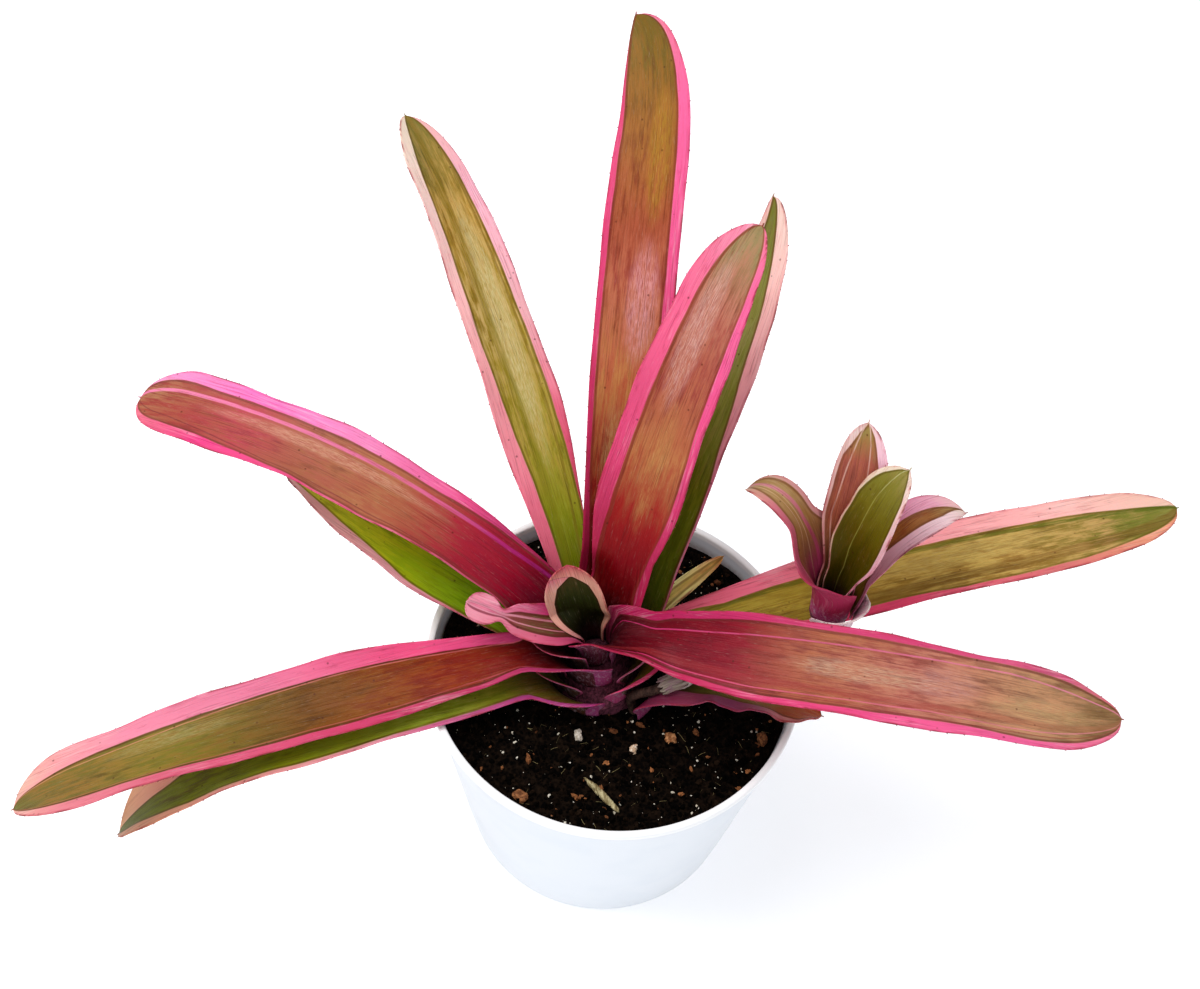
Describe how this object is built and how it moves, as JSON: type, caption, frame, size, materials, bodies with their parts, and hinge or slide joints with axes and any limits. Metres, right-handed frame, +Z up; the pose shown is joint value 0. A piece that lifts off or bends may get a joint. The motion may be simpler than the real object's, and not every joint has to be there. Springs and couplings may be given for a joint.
{
  "type": "potted bromeliad",
  "caption": "Strap-leaved rosette bromeliad with pink-edged red and green leaves and one small offset on a runner, in a round white pot of dark soil.",
  "frame": {"origin": "middle of the pot's flat underside", "axes": "+Z up, +X to the side the offset is on, -Y to the front, from where the rosette is seen down into"},
  "size_m": [0.3705, 0.2166, 0.2554],
  "materials": {
    "white_plastic": "smooth moulded white with a soft sheen",
    "potting_soil": "near-black damp peat crumbs",
    "stem_bark": "dull brown stem with papery scales",
    "green_leaf": "satin green blade with pale pink edges",
    "olive_leaf": "satin olive blade with peach and pink edges",
    "short_leaf": "satin olive blade with mauve waved edge and rust tip",
    "red_leaf": "satin brown-red blade with hot pink edges",
    "heart_leaf": "satin young blade, olive inside with peach and pink edges",
    "offset_leaf": "satin brown and green blade with pale pink stripes",
    "withered_leaf": "dry cream and yellow-green with brown specks",
    "papery_bract": "thin dry pinkish-grey scale",
    "pale_bark": "dry pale splinter",
    "brown_bark": "rough orange-brown bark",
    "perlite": "rough off-white grain"
  },
  "bodies": {
    "root": {"pot": "white_plastic", "soil": "potting_soil", "crown_stem": "stem_bark", "offset_stem": "stem_bark", "runner": "stem_bark", "bark_stick": "pale_bark", "bark_chip_front": "brown_bark", "bark_chip_right": "brown_bark", "bark_chip_left": "brown_bark", "perlite_left": "perlite", "perlite_middle": "perlite", "leaf_right_short": "short_leaf", "leaf_left_low": "green_leaf", "leaf_right_back": "olive_leaf", "leaf_left_under": "green_leaf", "leaf_back_right_low": "green_leaf", "leaf_back_left": "olive_leaf", "leaf_left_front": "red_leaf", "leaf_back": "red_leaf", "leaf_left_back": "red_leaf", "leaf_back_right": "red_leaf", "leaf_right_front": "red_leaf", "leaf_withered": "withered_leaf", "leaf_heart_curled": "heart_leaf", "leaf_heart_arched": "heart_leaf", "offset_leaf_right": "offset_leaf", "offset_leaf_left": "offset_leaf", "offset_leaf_back": "offset_leaf", "offset_leaf_middle": "offset_leaf", "offset_bract": "papery_bract", "runner_bract_low": "papery_bract", "runner_bract_high": "papery_bract"}
  },
  "joints": []
}
